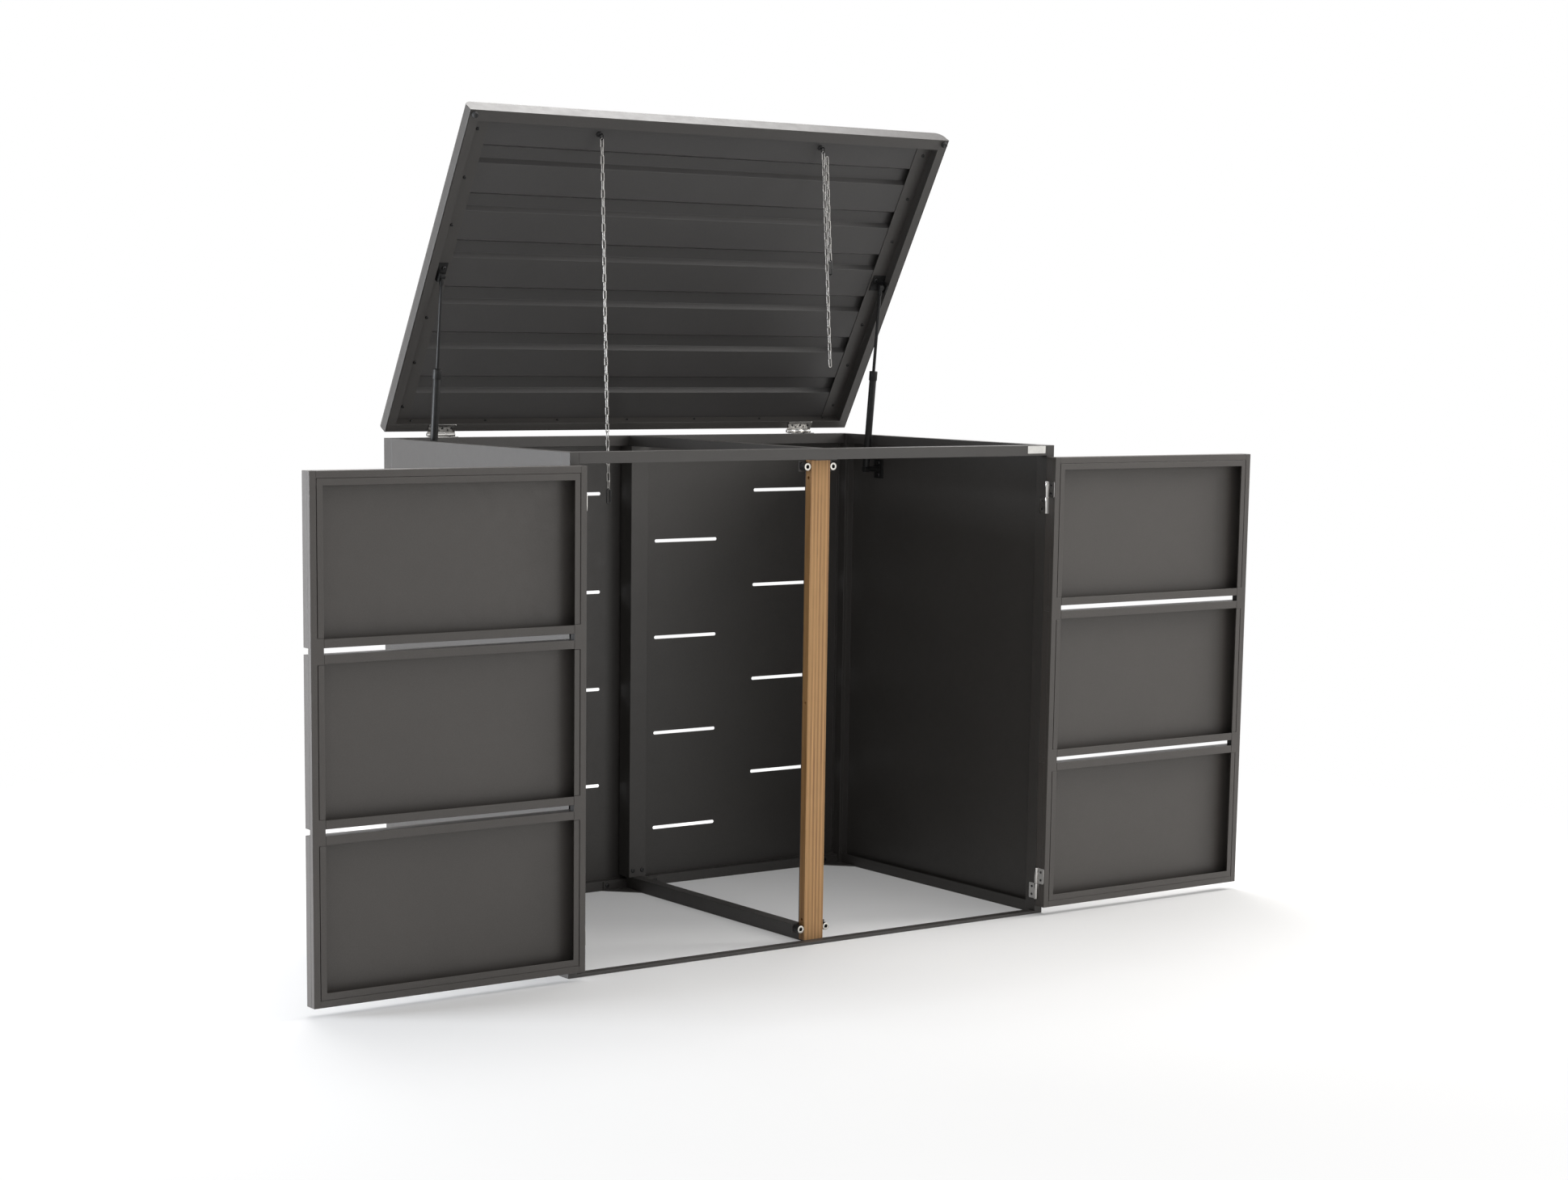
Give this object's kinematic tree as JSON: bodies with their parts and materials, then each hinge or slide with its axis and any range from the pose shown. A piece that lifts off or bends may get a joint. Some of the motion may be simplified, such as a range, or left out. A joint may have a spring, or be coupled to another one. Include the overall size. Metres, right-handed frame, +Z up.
{
  "type": "double wheeled bin store",
  "caption": "Steel bin store with a hinged lid on gas struts, outward-swinging slatted doors, a timber centre post, slotted back sheets and lid chains.",
  "frame": {"origin": "middle of the body's footprint on the ground, on the underside of the centre floor rail", "axes": "+X to the right seen from the front, +Y to the back, +Z up; the open front faces -Y"},
  "size_m": [2.636, 0.903, 1.9091],
  "materials": {
    "coat_body": "fine-textured dark grey powder coat",
    "coat_door": "fine-textured dark grey powder coat",
    "coat_lid": "fine-textured dark grey powder coat",
    "coat_liner": "fine-textured dark grey powder coat",
    "stainless": "brushed stainless",
    "screws": "zinc-plated heads",
    "zinc_chain": "bright zinc",
    "timber": "oiled hardwood",
    "magnet": "nickel-plated cups",
    "black_plastic": "matt black",
    "rubber": "matt black",
    "strut_black": "satin black",
    "strut_rod": "black nitrided",
    "bracket_black": "satin black"
  },
  "bodies": {
    "body": {"back_panel_left": "coat_body", "back_panel_right": "coat_body", "body_screws": "screws", "centre_bottom_rail": "coat_body", "centre_post": "timber", "centre_top_rail": "coat_body", "door_hinge_jamb_leaves": "stainless", "floor_gussets": "coat_body", "front_post_left": "coat_body", "front_post_right": "coat_body", "front_sill": "coat_body", "front_top_rail": "coat_body", "lid_hinge_body_leaves": "stainless", "magnets": "magnet", "post_backing": "coat_body", "rear_bottom_rail": "coat_body", "rear_post_left": "coat_body", "rear_post_right": "coat_body", "rear_top_rail": "coat_body", "rear_upright": "coat_body", "side_panel_left": "coat_body", "side_panel_right": "coat_body", "strut_body_brackets": "bracket_black"},
    "chain_left": {"chain_left": "zinc_chain"},
    "chain_right": {"chain_right": "zinc_chain"},
    "door_left": {"door_left_cross_rails": "coat_door", "door_left_hinge_leaves": "stainless", "door_left_panel_bottom": "coat_door", "door_left_panel_middle": "coat_door", "door_left_panel_top": "coat_door", "door_left_screws": "screws", "door_left_spacers": "black_plastic", "door_left_stile_free": "coat_door", "door_left_stile_hinge": "coat_door"},
    "door_right": {"door_right_cross_rails": "coat_door", "door_right_hinge_leaves": "stainless", "door_right_panel_bottom": "coat_door", "door_right_panel_middle": "coat_door", "door_right_panel_top": "coat_door", "door_right_screws": "screws", "door_right_spacers": "black_plastic", "door_right_stile_free": "coat_door", "door_right_stile_hinge": "coat_door"},
    "lid": {"lid_buffers": "rubber", "lid_eyes": "black_plastic", "lid_hinge_leaves": "stainless", "lid_liner": "coat_liner", "lid_rim_front": "coat_lid", "lid_rim_left": "coat_lid", "lid_rim_rear": "coat_lid", "lid_rim_right": "coat_lid", "lid_screws": "screws", "lid_skin": "coat_lid", "lid_strut_brackets": "bracket_black"},
    "strut_left_cylinder": {"strut_left_cylinder": "strut_black"},
    "strut_left_rod": {"strut_left_rod": "strut_rod"},
    "strut_right_cylinder": {"strut_right_cylinder": "strut_black"},
    "strut_right_rod": {"strut_right_rod": "strut_rod"}
  },
  "joints": [
    {"name": "lid_hinge", "type": "hinge", "parent": "body", "child": "lid", "pos_m": [0, 0.4185, 1.156], "axis": [1, 0, 0], "range_deg": [0, 60.5], "stiffness_Nm_per_rad": 33, "springref_deg": -156.42},
    {"name": "door_left_hinge", "type": "hinge", "parent": "body", "child": "door_left", "pos_m": [-0.661, -0.4225, 0.5], "axis": [0, 0, 1], "range_deg": [0, 180]},
    {"name": "door_right_hinge", "type": "hinge", "parent": "body", "child": "door_right", "pos_m": [0.661, -0.4225, 0.5], "axis": [0, 0, -1], "range_deg": [0, 180]},
    {"name": "strut_left_swing", "type": "hinge", "parent": "body", "child": "strut_left_cylinder", "pos_m": [-0.64, 0.267, 1.062], "axis": [1, 0, 0], "range_deg": [0, 63.26]},
    {"name": "strut_left_slide", "type": "slide", "parent": "strut_left_cylinder", "child": "strut_left_rod", "axis": [0, -0.1035, 0.9946], "range_m": [-0.17889, 0]},
    {"name": "chain_left_swing", "type": "hinge", "parent": "lid", "child": "chain_left", "pos_m": [-0.318, 0.04216, 1.8496], "axis": [1, 0, 0], "range_deg": [-60.55, 0]},
    {"name": "strut_right_swing", "type": "hinge", "parent": "body", "child": "strut_right_cylinder", "pos_m": [0.64, 0.267, 1.062], "axis": [1, 0, 0], "range_deg": [0, 63.26]},
    {"name": "strut_right_slide", "type": "slide", "parent": "strut_right_cylinder", "child": "strut_right_rod", "axis": [0, -0.1035, 0.9946], "range_m": [-0.17889, 0]},
    {"name": "chain_right_swing", "type": "hinge", "parent": "lid", "child": "chain_right", "pos_m": [0.318, 0.04216, 1.8496], "axis": [1, 0, 0], "range_deg": [-60.55, 0]}
  ],
  "couplings": [
    {"joint": "strut_left_swing", "follows": "lid_hinge", "ratio": 1.0448},
    {"joint": "strut_left_slide", "follows": "lid_hinge", "m_per_rad": -0.16932},
    {"joint": "chain_left_swing", "follows": "lid_hinge", "ratio": -1},
    {"joint": "strut_right_swing", "follows": "lid_hinge", "ratio": 1.0448},
    {"joint": "strut_right_slide", "follows": "lid_hinge", "m_per_rad": -0.16932},
    {"joint": "chain_right_swing", "follows": "lid_hinge", "ratio": -1}
  ]
}
